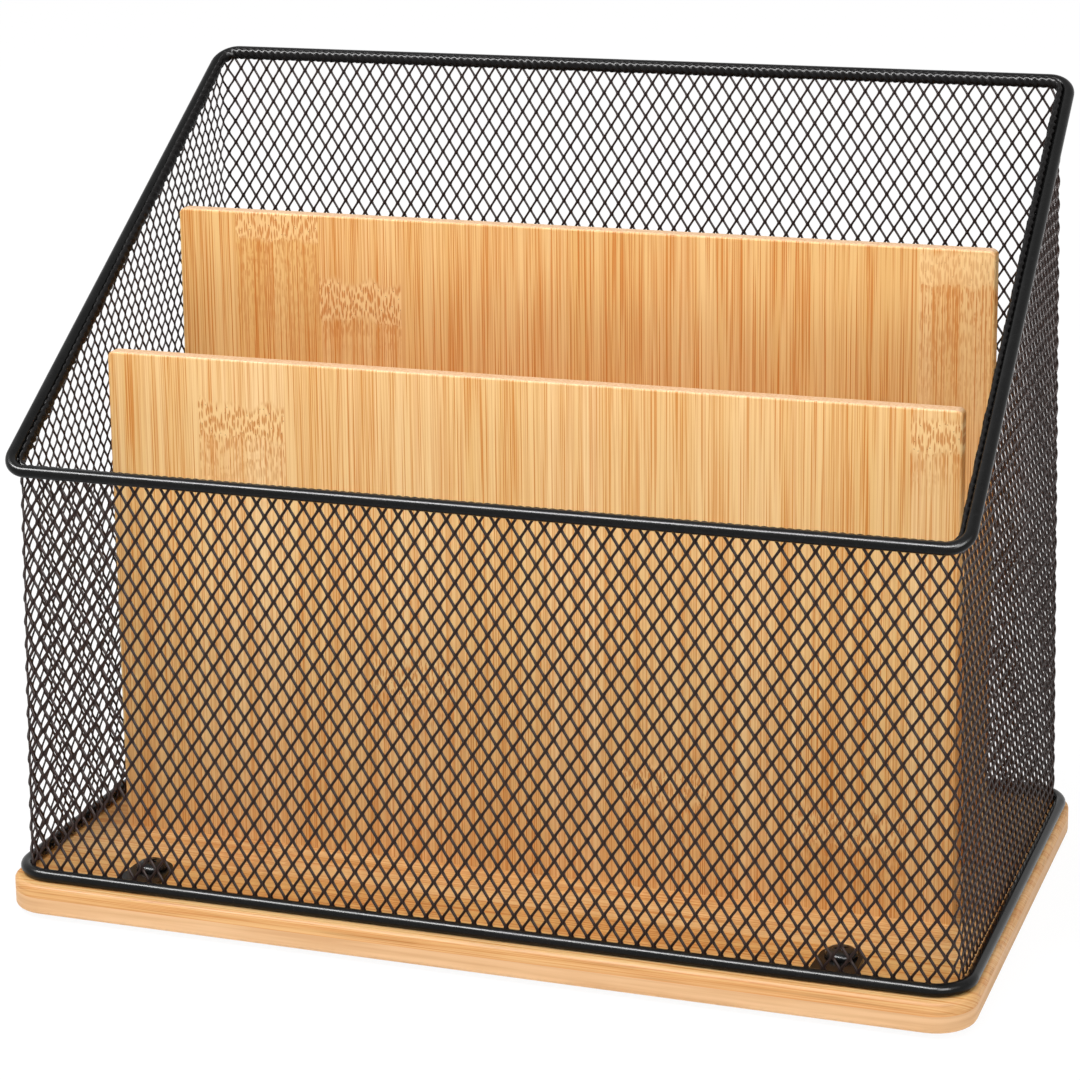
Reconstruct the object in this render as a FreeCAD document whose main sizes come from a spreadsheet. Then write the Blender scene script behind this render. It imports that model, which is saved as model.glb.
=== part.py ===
import FreeCAD, Part
import math
import os

import Sketcher
from FreeCAD import Placement, Rotation, Vector

# A desk sorter: an expanded-metal basket with a low front and a tall back, on a bamboo board that carries
# two bamboo dividers. Lengths are in millimetres. X runs across, Y from the front to the back and Z up.
# The origin is under the middle of the board, on the surface that the feet stand on.
SIZES = {
    "ring_width": 315.0,
    "ring_depth": 174.0,
    "ring_corner": 12.0,
    "rod_size": 4.0,
    "rim_front_height": 137.5,
    "rim_back_height": 250.0,
    "rim_side_inset": 2.5,
    "rim_front_inset": 3.0,
    "rim_back_inset": 1.0,
    "rim_corner": 7.0,
    "board_side_margin": 2.5,
    "board_end_margin": 5.0,
    "board_thick": 10.0,
    "board_corner": 13.5,
    "board_easing": 1.2,
    "foot_width": 12.0,
    "foot_height": 2.0,
    "foot_inset": 18.0,
    "mesh_thick": 0.8,
    "mesh_strand": 1.8,
    "diamond_width": 31.0,
    "diamond_height": 46.5,
    "mesh_gap": 0.05,
    "mesh_lift": 0.2,
    "mesh_reach": 1.2,
    "divider_thick": 5.5,
    "divider_corner": 2.0,
    "divider_easing": 0.8,
    "front_divider_height": 166.0,
    "front_divider_setback": 56.25,
    "front_divider_gap": 8.6,
    "rear_divider_height": 204.5,
    "rear_divider_setback": 111.25,
    "rear_divider_gap": 9.4,
    "groove_depth": 3.0,
    "groove_clearance": 0.1,
    "lug_width": 14.5,
    "lug_end_radius": 6.8,
    "lug_thick": 1.5,
    "lug_inset": 41.5,
    "lug_reach": 17.5,
    "basket_screw_size": 3.5,
    "basket_screw_length": 9.0,
    "basket_screw_head": 10.2,
    "basket_screw_crown": 2.6,
    "basket_screw_rim": 0.8,
    "screw_clearance": 0.2,
    "overrun": 5.0,
}

doc = FreeCAD.newDocument("desk_sorter")
sheet = doc.addObject("Spreadsheet::Sheet", "Sizes")
for row, (name, value) in enumerate(SIZES.items(), start=1):
    sheet.set(f"A{row}", name)
    sheet.set(f"B{row}", str(value))
    sheet.setAlias(f"B{row}", name)
doc.recompute()


def size(name):
    """A size as a number, for the outlines that are worked out in code."""
    return float(sheet.get(name))


def origin_plane(body, role):
    return next(feature for feature in body.Origin.OriginFeatures if feature.Role == role)


def new_body(label):
    body = doc.addObject("PartDesign::Body", label)
    body.Label = label
    return body


def new_sketch(body, name, role, lift=None):
    """A sketch on one of the body's origin planes, lifted off it by a formula where one is given."""
    sketch = body.newObject("Sketcher::SketchObject", name)
    sketch.AttachmentSupport = [(origin_plane(body, role), "")]
    sketch.MapMode = "FlatFace"
    if lift:
        sketch.setExpression("AttachmentOffset.Base.z", lift)
    return sketch


def bind(sketch, formula, *constraint):
    """Adds a constraint whose value is a formula on the sheet."""
    kind, *places = constraint
    index = sketch.addConstraint(Sketcher.Constraint(kind, *places, value_of(sketch, formula)))
    sketch.setExpression(f"Constraints[{index}]", formula)


def value_of(carrier, formula):
    return float(carrier.evalExpression(formula))


def place(target, **formulas):
    """Binds the object's position to formulas on the sheet, one for each axis that is given."""
    for axis, formula in formulas.items():
        target.setExpression(f"Placement.Base.{axis}", formula)


def feature(body, kind, name, profile=None, **values):
    """A feature of the body whose given properties are set, formulas being bound to the sheet."""
    made = body.newObject(f"PartDesign::{kind}", name)
    if profile:
        made.Profile = profile
    for key, value in values.items():
        if isinstance(value, str) and "Sizes." in value:
            made.setExpression(key, value)
        else:
            setattr(made, key, value)
    doc.recompute()
    return made


def edges_at(shape, axis, *levels):
    """The names of the edges that lie wholly at one of the given places along an axis."""
    names = []
    for number, edge in enumerate(shape.Edges, start=1):
        places = [getattr(vertex, axis) for vertex in edge.Vertexes]
        if any(all(math.isclose(place, level, abs_tol=1e-6) for place in places) for level in levels):
            names.append(f"Edge{number}")
    return names


def add_line(sketch, start, end):
    return sketch.addGeometry(Part.LineSegment(start, end))


def add_arc(sketch, centre, radius, start, end):
    return sketch.addGeometry(Part.ArcOfCircle(Part.Circle(centre, Vector(0, 0, 1), radius), start, end))


def bind_point(sketch, curve, point, place, formulas):
    """Binds a point of a curve to two formulas that give its place from the sketch's origin."""
    for kind, formula, offset in zip(("DistanceX", "DistanceY"), formulas, place):
        if offset >= 0:
            bind(sketch, formula, kind, -1, 1, curve, point)
        else:
            bind(sketch, f"-({formula})", kind, curve, point, -1, 1)


def add_circle(sketch, across, along, diameter):
    """A circle whose centre is right of and above the sketch's origin, or left or below for a minus sign."""
    right, above = value_of(sketch, across), value_of(sketch, along)
    radius = value_of(sketch, diameter) / 2
    circle = sketch.addGeometry(Part.Circle(Vector(right, above, 0), Vector(0, 0, 1), radius))
    bind(sketch, diameter, "Diameter", circle)
    bind_point(sketch, circle, 3, Vector(right, above, 0), (across, along))


def rounded_loop(sketch, front_width, back_width, depth, corner):
    """A closed loop with equal round corners, symmetric about the sketch's vertical axis."""
    front, back = value_of(sketch, front_width), value_of(sketch, back_width)
    deep, radius = value_of(sketch, depth), value_of(sketch, corner)
    near, far = radius - deep / 2, deep / 2 - radius
    centres = [Vector(radius - front / 2, near), Vector(front / 2 - radius, near),
               Vector(back / 2 - radius, far), Vector(radius - back / 2, far)]
    lean = math.asin((back - front) / 2 / (deep - 2 * radius))
    turns = [(lean - math.pi, -math.pi / 2), (-math.pi / 2, -lean),
             (-lean, math.pi / 2), (math.pi / 2, math.pi + lean)]
    ends = [[centre + Vector(math.cos(turn), math.sin(turn)) * radius for turn in pair]
            for centre, pair in zip(centres, turns)]
    lines = [add_line(sketch, ends[index][1], ends[(index + 1) % 4][0]) for index in range(4)]
    arcs = [add_arc(sketch, centre, radius, *pair) for centre, pair in zip(centres, turns)]
    for index in range(4):
        following = (index + 1) % 4
        sketch.addConstraint(Sketcher.Constraint("Tangent", arcs[index], 2, lines[index], 1))
        sketch.addConstraint(Sketcher.Constraint("Tangent", lines[index], 2, arcs[following], 1))
    for arc in arcs[1:]:
        sketch.addConstraint(Sketcher.Constraint("Equal", arcs[0], arc))
    for line in (lines[0], lines[2]):
        sketch.addConstraint(Sketcher.Constraint("Horizontal", line))
    bind(sketch, corner, "Radius", arcs[0])
    bind(sketch, f"({front_width}) / 2 - {corner}", "DistanceX", arcs[0], 3, -1, 1)
    bind(sketch, f"({front_width}) / 2 - {corner}", "DistanceX", -1, 1, arcs[1], 3)
    bind(sketch, f"({back_width}) / 2 - {corner}", "DistanceX", -1, 1, arcs[2], 3)
    bind(sketch, f"({back_width}) / 2 - {corner}", "DistanceX", arcs[3], 3, -1, 1)
    bind(sketch, f"({depth}) / 2 - {corner}", "DistanceY", arcs[0], 3, -1, 1)
    bind(sketch, f"({depth}) / 2 - {corner}", "DistanceY", -1, 1, arcs[2], 3)


def add_outline(sketch, points):
    """A closed outline of straight lines, its corners bound to pairs of formulas from the sketch's origin."""
    places = [Vector(value_of(sketch, across), value_of(sketch, up), 0) for across, up in points]
    lines = [add_line(sketch, start, end) for start, end in zip(places, places[1:] + places[:1])]
    for index, formulas in enumerate(points):
        sketch.addConstraint(Sketcher.Constraint("Coincident", lines[index - 1], 2, lines[index], 1))
        bind_point(sketch, lines[index], 1, places[index], formulas)


def mirrored(source, label, normal):
    """The same piece on the other side of the middle plane that has this normal."""
    twin = doc.addObject("Part::Mirroring", label)
    twin.Label = label
    twin.Source = source
    twin.Normal = normal
    return twin


def in_four_corners(front_right, name):
    """The piece at the front right and its like at the three other corners."""
    front_left = mirrored(front_right, f"{name}_front_left", ACROSS)
    back_right = mirrored(front_right, f"{name}_back_right", ALONG)
    return [front_right, front_left, back_right, mirrored(front_left, f"{name}_back_left", ALONG)]


def group(label, *pieces):
    """Like fasteners as one object of separate solids."""
    made = doc.addObject("Part::Compound", label)
    made.Label = label
    made.Links = list(pieces)
    return made


SMALLEST_OPENING_SHARE = 0.04
CORNER_FACETS = 3
CROWN_TOP_SHARE = 0.62
ACROSS = Vector(1, 0, 0)
ALONG = Vector(0, 1, 0)
UP = Vector(0, 0, 1)
BOARD_WIDTH = "(Sizes.ring_width + 2 * Sizes.board_side_margin)"
BOARD_DEPTH = "(Sizes.ring_depth + 2 * Sizes.board_end_margin)"
BOARD_TOP = "(Sizes.foot_height + Sizes.board_thick)"
RING_LEVEL = f"({BOARD_TOP} + Sizes.rod_size / 2)"
RIM_FRONT_WIDTH = "(Sizes.ring_width - 2 * Sizes.rim_side_inset)"
RIM_RUN = "(Sizes.ring_depth - Sizes.rim_front_inset - Sizes.rim_back_inset)"
RIM_RISE = "(Sizes.rim_back_height - Sizes.rim_front_height)"
SIDE_LEAN = "(2 * Sizes.rim_side_inset / (Sizes.rim_front_height - Sizes.rod_size / 2))"
RIM_BACK_WIDTH = f"(Sizes.ring_width - {SIDE_LEAN} * (Sizes.rim_back_height - Sizes.rod_size / 2))"
LUG_X = "(Sizes.ring_width / 2 - Sizes.lug_inset)"
LUG_Y = "(Sizes.ring_depth / 2 - Sizes.lug_reach)"
SCREW_HOLE = "Sizes.basket_screw_size + 2 * Sizes.screw_clearance"
NOTHING = "0"


def divider_width(which):
    """The divider reaches to a gap from the mesh on both sides, measured at its top."""
    climb = f"(Sizes.{which}_divider_height - Sizes.rod_size / 2)"
    inside = "Sizes.rod_size / 2 + Sizes.mesh_gap + Sizes.mesh_thick"
    return f"(Sizes.ring_width - {SIDE_LEAN} * {climb} - 2 * ({inside} + Sizes.{which}_divider_gap))"


def divider_place(which):
    """The middle of the divider's thickness, from the middle of the board."""
    return f"(Sizes.{which}_divider_setback - Sizes.ring_depth / 2)"


def make_base_board():
    """The bamboo board, with grooves for the dividers and pilot holes for the basket's screws."""
    body = new_body("base_board")
    outline = new_sketch(body, "board_outline", "XY_Plane")
    rounded_loop(outline, BOARD_WIDTH, BOARD_WIDTH, BOARD_DEPTH, "Sizes.board_corner")
    pad = feature(body, "Pad", "board_slab", outline, Length="Sizes.board_thick")
    rims = edges_at(pad.Shape, "Z", 0, size("board_thick"))
    feature(body, "Chamfer", "board_easing", Base=(pad, rims), Size="Sizes.board_easing")
    grooves = new_sketch(body, "groove_outlines", "XY_Plane", lift="Sizes.board_thick")
    for which in ("front", "rear"):
        half_width = f"({divider_width(which)} / 2 + Sizes.groove_clearance)"
        half_thick = "(Sizes.divider_thick / 2 + Sizes.groove_clearance)"
        middle = divider_place(which)
        add_outline(grooves, [
            (f"-{half_width}", f"{middle} - {half_thick}"),
            (half_width, f"{middle} - {half_thick}"),
            (half_width, f"{middle} + {half_thick}"),
            (f"-{half_width}", f"{middle} + {half_thick}"),
        ])
    feature(body, "Pocket", "divider_grooves", grooves, Length="Sizes.groove_depth + Sizes.groove_clearance")
    pilots = new_sketch(body, "pilot_places", "XY_Plane", lift="Sizes.board_thick")
    for side in ("", "-"):
        for end in ("", "-"):
            add_circle(pilots, f"{side}{LUG_X}", f"{end}{LUG_Y}", SCREW_HOLE)
    feature(body, "Pocket", "pilot_holes", pilots,
            Length="Sizes.basket_screw_length - Sizes.lug_thick + Sizes.screw_clearance")
    place(body, z="Sizes.foot_height")
    return body


def make_divider(which):
    """An upright bamboo panel with eased edges, whose foot sits in a groove of the board."""
    body = new_body(f"{which}_divider")
    outline = new_sketch(body, f"{which}_divider_outline", "XZ_Plane")
    width, depth = divider_width(which), "Sizes.groove_depth"
    height = f"(Sizes.{which}_divider_height + {depth})"
    half, tall, corner = value_of(outline, width) / 2, value_of(outline, height), size("divider_corner")
    foot = add_line(outline, Vector(-half, 0), Vector(half, 0))
    right = add_line(outline, Vector(half, 0), Vector(half, tall - corner))
    right_turn = add_arc(outline, Vector(half - corner, tall - corner), corner, 0, math.pi / 2)
    top = add_line(outline, Vector(half - corner, tall), Vector(corner - half, tall))
    left_turn = add_arc(outline, Vector(corner - half, tall - corner), corner, math.pi / 2, math.pi)
    left = add_line(outline, Vector(-half, tall - corner), Vector(-half, 0))
    for kind, *places in (("Coincident", foot, 2, right, 1), ("Coincident", left, 2, foot, 1),
                          ("Tangent", right, 2, right_turn, 1), ("Tangent", right_turn, 2, top, 1),
                          ("Tangent", top, 2, left_turn, 1), ("Tangent", left_turn, 2, left, 1),
                          ("Horizontal", foot), ("Vertical", right), ("Vertical", left),
                          ("Equal", right_turn, left_turn), ("PointOnObject", foot, 1, -1)):
        outline.addConstraint(Sketcher.Constraint(kind, *places))
    bind(outline, "Sizes.divider_corner", "Radius", right_turn)
    bind(outline, f"{width} / 2", "DistanceX", foot, 1, -1, 1)
    bind(outline, width, "DistanceX", foot, 1, foot, 2)
    bind(outline, height, "DistanceY", -1, 1, top, 1)
    pad = feature(body, "Pad", f"{which}_divider_panel", outline, Length="Sizes.divider_thick", Midplane=True)
    half_thick = size("divider_thick") / 2
    foot_edges = edges_at(pad.Shape, "Z", 0)
    eased = [name for name in edges_at(pad.Shape, "Y", -half_thick, half_thick) if name not in foot_edges]
    feature(body, "Chamfer", f"{which}_divider_easing", Base=(pad, eased), Size="Sizes.divider_easing")
    place(body, y=divider_place(which), z=f"{BOARD_TOP} - {depth}")
    return body


def make_rod_loop(label, front_width, back_width, depth, corner):
    """A closed loop of round rod, bent to round corners, lying in its own level plane."""
    body = new_body(label)
    path = new_sketch(body, f"{label}_path", "XY_Plane")
    rounded_loop(path, front_width, back_width, depth, corner)
    section = new_sketch(body, f"{label}_section", "YZ_Plane", lift=f"{corner} - ({front_width}) / 2")
    add_circle(section, f"-({depth}) / 2", NOTHING, "Sizes.rod_size")
    feature(body, "AdditivePipe", f"{label}_rod", section, Spine=path)
    return body


def make_base_ring():
    width, depth = "Sizes.ring_width", "Sizes.ring_depth"
    body = make_rod_loop("base_ring", width, width, depth, "Sizes.ring_corner")
    place(body, z=RING_LEVEL)
    return body


def make_top_rim():
    """The sloping rim. Its sides lie in the planes that lean in from the ring through the front corners."""
    body = make_rod_loop("top_rim", RIM_FRONT_WIDTH, RIM_BACK_WIDTH, f"hypot({RIM_RUN}; {RIM_RISE})",
                         "Sizes.rim_corner")
    body.Placement = Placement(Vector(), Rotation(ACROSS, 1))
    body.setExpression("Placement.Rotation.Angle", f"atan2({RIM_RISE}; {RIM_RUN})")
    place(body, y="(Sizes.rim_front_inset - Sizes.rim_back_inset) / 2",
          z=f"{BOARD_TOP} + (Sizes.rim_front_height + Sizes.rim_back_height) / 2")
    return body


class Basket:
    """Where the mesh runs between the ring and the rim, from the sheet's sizes."""

    def __init__(self):
        half_rod = size("rod_size") / 2
        board_top = size("foot_height") + size("board_thick")
        self.thick = size("mesh_thick")
        self.strand = size("mesh_strand")
        self.off_rod = half_rod + size("mesh_gap")
        self.foot_level = board_top + size("lug_thick") + size("mesh_lift")
        self.ring_level = board_top + half_rod
        self.rim_level = {-1: board_top + size("rim_front_height"), 1: board_top + size("rim_back_height")}
        self.rim_inset = {-1: size("rim_front_inset"), 1: size("rim_back_inset")}
        rise = self.rim_level[1] - self.rim_level[-1]
        run = size("ring_depth") - self.rim_inset[-1] - self.rim_inset[1]
        self.slope = math.atan2(rise, run)
        self.top_normal = Vector(0, -math.sin(self.slope), math.cos(self.slope))
        front_rod = Vector(0, self.rim_inset[-1] - size("ring_depth") / 2, self.rim_level[-1])
        self.top_point = front_rod + self.top_normal * size("mesh_reach")

    def corner(self, side, end, level):
        """Centre and outer radius of a mesh corner at a level; side -1 is left and end -1 is the front."""
        climb = (level - self.ring_level) / (self.rim_level[end] - self.ring_level)
        lean = (level - self.ring_level) / (self.rim_level[-1] - self.ring_level)
        radius = size("ring_corner") + (size("rim_corner") - size("ring_corner")) * climb - self.off_rod
        half_width = size("ring_width") / 2 - size("rim_side_inset") * lean - self.off_rod
        half_depth = size("ring_depth") / 2 - self.rim_inset[end] * climb - self.off_rod
        return Vector(side * (half_width - radius), end * (half_depth - radius), level), radius

    def edge(self, side, end, outward):
        """The straight line, from foot to top, where a corner runs into the wall that faces outward."""
        places = []
        for level in (self.foot_level, self.rim_level[end]):
            centre, radius = self.corner(side, end, level)
            places.append(centre + outward * radius)
        low, high = places
        run = high - low
        share = (self.top_point - low).dot(self.top_normal) / run.dot(self.top_normal)
        return low, low + run * share


def diamond(centre, across, up):
    """A diamond-shaped face from its centre and its two half diagonals."""
    points = [centre + across, centre + up, centre - across, centre - up]
    return Part.Face(Part.makePolygon(points + points[:1]))


def half_diagonals(width, height, strand):
    """Half the width and height of the opening between strands, in a diamond grid of this pitch."""
    strand_share = strand * math.hypot(width, height) / (width * height)
    return width / 2 * (1 - strand_share), height / 2 * (1 - strand_share)


def lattice_openings(basket, outline, margin):
    """The openings of the diamond grid inside a flat outline, each clipped to a margin along its edges.

    The outline's points run from one end of its foot to the other and back along its top. The grid is
    centred on the foot's middle.
    """
    across = (outline[1] - outline[0]).normalize()
    normal = across.cross(outline[3] - outline[0]).normalize()
    up = normal.cross(across)
    middle = (outline[0] + outline[1]) / 2
    frame = Part.makePolygon(outline + outline[:1])
    field = Part.Face(frame.makeOffset2D(-margin))
    width, height = size("diamond_width"), size("diamond_height")
    half_across, half_up = half_diagonals(width, height, basket.strand)
    columns = math.ceil(max(abs((point - middle).dot(across)) for point in outline) / width)
    rows = math.ceil(max((point - middle).dot(up) for point in outline) / height)
    whole = []
    for row in range(2 * rows + 1):
        for column in range(-columns, columns + 1):
            centre = middle + across * ((column + row % 2 / 2) * width) + up * (row / 2 * height)
            whole.append(diamond(centre, across * half_across, up * half_up))
    clipped = field.common(Part.makeCompound(whole)).Faces
    return [opening for opening in clipped if opening.Area > SMALLEST_OPENING_SHARE * whole[0].Area]


def make_mesh_wall(label, basket, corners, outward):
    """A flat wall of diamond mesh between two corners, each given as its side and end."""
    edges = [basket.edge(side, end, outward) for side, end in corners]
    outline = [edges[0][0], edges[1][0], edges[1][1], edges[0][1]]
    openings = lattice_openings(basket, outline, basket.strand)
    lattice = Part.Face(Part.makePolygon(outline + outline[:1])).cut(Part.makeCompound(openings)).Faces[0]
    wall = doc.addObject("Part::Feature", label)
    wall.Label = label
    wall.Shape = lattice.extrude(outward * -basket.thick)
    return wall, len(openings)


def corner_section(basket, side, end, level):
    """The bent strip that a mesh corner shows at a level, as points round its outside and back inside."""
    centre, outer = basket.corner(side, end, level)
    turns = [math.pi / 2 * facet / CORNER_FACETS for facet in range(CORNER_FACETS + 1)]
    ways = [ACROSS * side * math.cos(turn) + ALONG * end * math.sin(turn) for turn in turns]
    inner = outer - basket.thick
    return [centre + way * outer for way in ways] + [centre + way * inner for way in reversed(ways)]


def solid_between(lower, upper):
    """A solid with flat sides between two outlines of as many points."""
    def flat(*points):
        return Part.Face(Part.makePolygon(list(points) + [points[0]]))

    corners = range(len(lower))
    sides = [flat(lower[index - 1], lower[index], upper[index], upper[index - 1]) for index in corners]
    solid = Part.Solid(Part.Shell([flat(*lower), flat(*upper)] + sides))
    if solid.Volume < 0:
        solid.reverse()
    return solid


def make_mesh_corner(label, basket, side, end):
    """A corner of the mesh, bent in flat facets, with openings cut through from the corner's chord."""
    edges = [basket.edge(side, end, way) for way in (ACROSS * side, ALONG * end)]
    above = max(top.z for low, top in edges) + size("overrun")
    strip = solid_between(*(corner_section(basket, side, end, level) for level in (basket.foot_level, above)))
    plane = Part.Plane(basket.top_point, basket.top_normal).toShape()
    strip = strip.cut(plane.makeHalfSpace(basket.top_point + UP * size("overrun")))
    halfway = Vector(side, end, 0).normalize()
    base = edges[0][0]
    flat = [point - halfway * (point - base).dot(halfway)
            for point in (edges[0][0], edges[1][0], edges[1][1], edges[0][1])]
    openings = lattice_openings(basket, flat, basket.strand / math.sqrt(2))
    reach = size("ring_corner") + size("overrun")
    cutters = [opening.extrude(halfway * 2 * reach).translate(-halfway * reach) for opening in openings]
    strip = strip.cut(Part.makeCompound(cutters))
    corner = doc.addObject("Part::Feature", label)
    corner.Label = label
    corner.Shape = strip.Solids[0]
    return corner, len(openings)


def make_mesh():
    """The wrapped strip of expanded metal: four flat walls and the four round corners between them."""
    basket = Basket()
    pieces = [
        make_mesh_wall("mesh_front", basket, ((-1, -1), (1, -1)), -ALONG),
        make_mesh_wall("mesh_back", basket, ((-1, 1), (1, 1)), ALONG),
        make_mesh_wall("mesh_left", basket, ((-1, -1), (-1, 1)), -ACROSS),
        make_mesh_wall("mesh_right", basket, ((1, -1), (1, 1)), ACROSS),
    ]
    for side, side_name in ((-1, "left"), (1, "right")):
        for end, end_name in ((-1, "front"), (1, "back")):
            pieces.append(make_mesh_corner(f"mesh_corner_{end_name}_{side_name}", basket, side, end))
    for wall, openings in pieces:
        print(wall.Label, "openings", openings)
    return [wall for wall, openings in pieces]


def make_lugs():
    """Flat lugs, welded to the inside of the ring, that take the basket's screws."""
    body = new_body("lug_front_right")
    outline = new_sketch(body, "lug_outline", "XY_Plane")
    seat = "(Sizes.lug_reach - Sizes.rod_size / 2 - Sizes.mesh_gap)"
    half, deep, radius = size("lug_width") / 2, value_of(outline, seat), size("lug_end_radius")
    turn = math.acos(radius / math.hypot(half, deep)) - math.atan2(deep, half)
    tangent = Vector(math.cos(turn), math.sin(turn)) * radius
    root = add_line(outline, Vector(-half, -deep), Vector(half, -deep))
    right = add_line(outline, Vector(half, -deep), tangent)
    end = add_arc(outline, Vector(), radius, turn, math.pi - turn)
    left = add_line(outline, Vector(-tangent.x, tangent.y), Vector(-half, -deep))
    for kind, *places in (("Coincident", root, 2, right, 1), ("Coincident", left, 2, root, 1),
                          ("Tangent", right, 2, end, 1), ("Tangent", end, 2, left, 1),
                          ("Coincident", end, 3, -1, 1), ("Horizontal", root)):
        outline.addConstraint(Sketcher.Constraint(kind, *places))
    bind(outline, "Sizes.lug_end_radius", "Radius", end)
    bind(outline, "Sizes.lug_width / 2", "DistanceX", root, 1, -1, 1)
    bind(outline, "Sizes.lug_width", "DistanceX", root, 1, root, 2)
    bind(outline, seat, "DistanceY", root, 1, -1, 1)
    feature(body, "Pad", "lug_plate", outline, Length="Sizes.lug_thick")
    hole = new_sketch(body, "lug_hole_place", "XY_Plane", lift="Sizes.lug_thick")
    add_circle(hole, NOTHING, NOTHING, SCREW_HOLE)
    feature(body, "Pocket", "lug_hole", hole, Type="ThroughAll")
    place(body, x=LUG_X, y=f"-{LUG_Y}", z=BOARD_TOP)
    return in_four_corners(body, "lug")


def make_basket_screws():
    """Pan-head screws, one through each lug into the board."""
    body = new_body("basket_screw")
    profile = new_sketch(body, "basket_screw_profile", "XZ_Plane")
    head, shank = "Sizes.basket_screw_head / 2", "Sizes.basket_screw_size / 2"
    add_outline(profile, [
        (NOTHING, "-Sizes.basket_screw_length"),
        (shank, "-Sizes.basket_screw_length"),
        (shank, NOTHING),
        (head, NOTHING),
        (head, "Sizes.basket_screw_rim"),
        (f"{head} * {CROWN_TOP_SHARE}", "Sizes.basket_screw_crown"),
        (NOTHING, "Sizes.basket_screw_crown"),
    ])
    feature(body, "Revolution", "basket_screw_turning", profile, ReferenceAxis=(profile, ["V_Axis"]))
    place(body, x=LUG_X, y=f"-{LUG_Y}", z=f"{BOARD_TOP} + Sizes.lug_thick")
    pair = group("basket_screws_front", body, mirrored(body, "basket_screw_left", ACROSS))
    return group("basket_screws", pair, mirrored(pair, "basket_screws_back", ALONG))


def make_feet():
    """Square rubber pads under the board's corners."""
    foot = doc.addObject("Part::Box", "foot_front_right")
    foot.Label = "foot_front_right"
    foot.setExpression("Length", "Sizes.foot_width")
    foot.setExpression("Width", "Sizes.foot_width")
    foot.setExpression("Height", "Sizes.foot_height")
    place(foot, x=f"{BOARD_WIDTH} / 2 - Sizes.foot_inset - Sizes.foot_width / 2",
          y=f"Sizes.foot_inset - Sizes.foot_width / 2 - {BOARD_DEPTH} / 2")
    return in_four_corners(foot, "foot")


nodes = [make_base_board(), make_divider("front"), make_divider("rear"), make_base_ring(), make_top_rim()]
nodes += make_mesh()
nodes += make_lugs()
nodes += [make_basket_screws()]
nodes += make_feet()
doc.recompute()

for item in doc.Objects:
    if "Invalid" in item.State or "Error" in item.State:
        raise RuntimeError(f"{item.Label} did not recompute: {item.State}")
for node in nodes:
    if node.Shape.isNull() or not node.Shape.isValid():
        raise RuntimeError(f"{node.Label} has no valid shape")

os.makedirs("parts", exist_ok=True)
for node in nodes:
    node.Shape.exportStep(f"parts/{node.Label}.step")
    print(node.Label, "solids", len(node.Shape.Solids), "volume", round(node.Shape.Volume, 1))
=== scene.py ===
import math

import bmesh
import bpy
import numpy as np
from mathutils import Matrix, Vector


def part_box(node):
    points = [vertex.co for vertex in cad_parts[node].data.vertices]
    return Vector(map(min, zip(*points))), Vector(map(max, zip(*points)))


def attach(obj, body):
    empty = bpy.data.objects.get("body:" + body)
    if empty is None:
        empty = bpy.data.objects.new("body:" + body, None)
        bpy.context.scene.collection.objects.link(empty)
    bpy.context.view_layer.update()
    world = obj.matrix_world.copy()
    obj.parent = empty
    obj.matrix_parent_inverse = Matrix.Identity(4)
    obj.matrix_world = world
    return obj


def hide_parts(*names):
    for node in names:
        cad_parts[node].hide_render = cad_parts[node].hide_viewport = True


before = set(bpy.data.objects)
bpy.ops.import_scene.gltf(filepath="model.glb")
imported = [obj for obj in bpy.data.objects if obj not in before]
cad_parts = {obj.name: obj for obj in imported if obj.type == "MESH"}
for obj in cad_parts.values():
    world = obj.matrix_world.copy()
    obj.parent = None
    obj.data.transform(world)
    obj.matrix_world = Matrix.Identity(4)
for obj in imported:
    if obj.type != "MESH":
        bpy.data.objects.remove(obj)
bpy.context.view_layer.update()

MM = 0.001
ROD_RADIUS = 2.0 * MM

# The strip of expanded metal. Its bonds stand in columns, a pitch apart, and in rows, given as the height of
# the first row above the desk and the rows' spacing. Each shift moves the columns along their wall.
FRONT_PITCH = 5.33 * MM
SIDE_PITCH = 5.2 * MM
BACK_PITCH = 5.12 * MM
FRONT_ROWS = (-0.13 * MM, 7.82 * MM)
BACK_ROWS = (1.85 * MM, 7.715 * MM)
FRONT_SHIFT = 2.1 * MM
BACK_SHIFT = 0.25 * MM
MOST_ROWS = 40

# A strand: its width on each wall, the shares of a side between which the width changes, its thickness, the
# bond's half width and half height in strand widths, how much of a row the openings' blunt ends take, and how far
# the strand is twisted out of the wall.
FRONT_STRAND = 0.86 * MM
LEFT_STRAND = 0.87 * MM
RIGHT_STRAND = 1.2 * MM
BACK_STRAND = 0.745 * MM
SIDE_BLEND = (0, 0.1, 0.9, 1)
STRAND_THICK = 0.6 * MM
BOND_WIDTH = 0.72
BOND_HEIGHT = 0.98
BLUNT_CORNER = 0.03
BOND_TILT = math.radians(30)

# Where the mesh stands: how far inside the rods' centre lines, its foot above the board, and the radius of its
# corners at the ring and at the rim.
MESH_INSET = 2.75 * MM
MESH_FOOT = 1.7 * MM
MESH_CORNERS = (6.0 * MM, 4.2 * MM)

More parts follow.
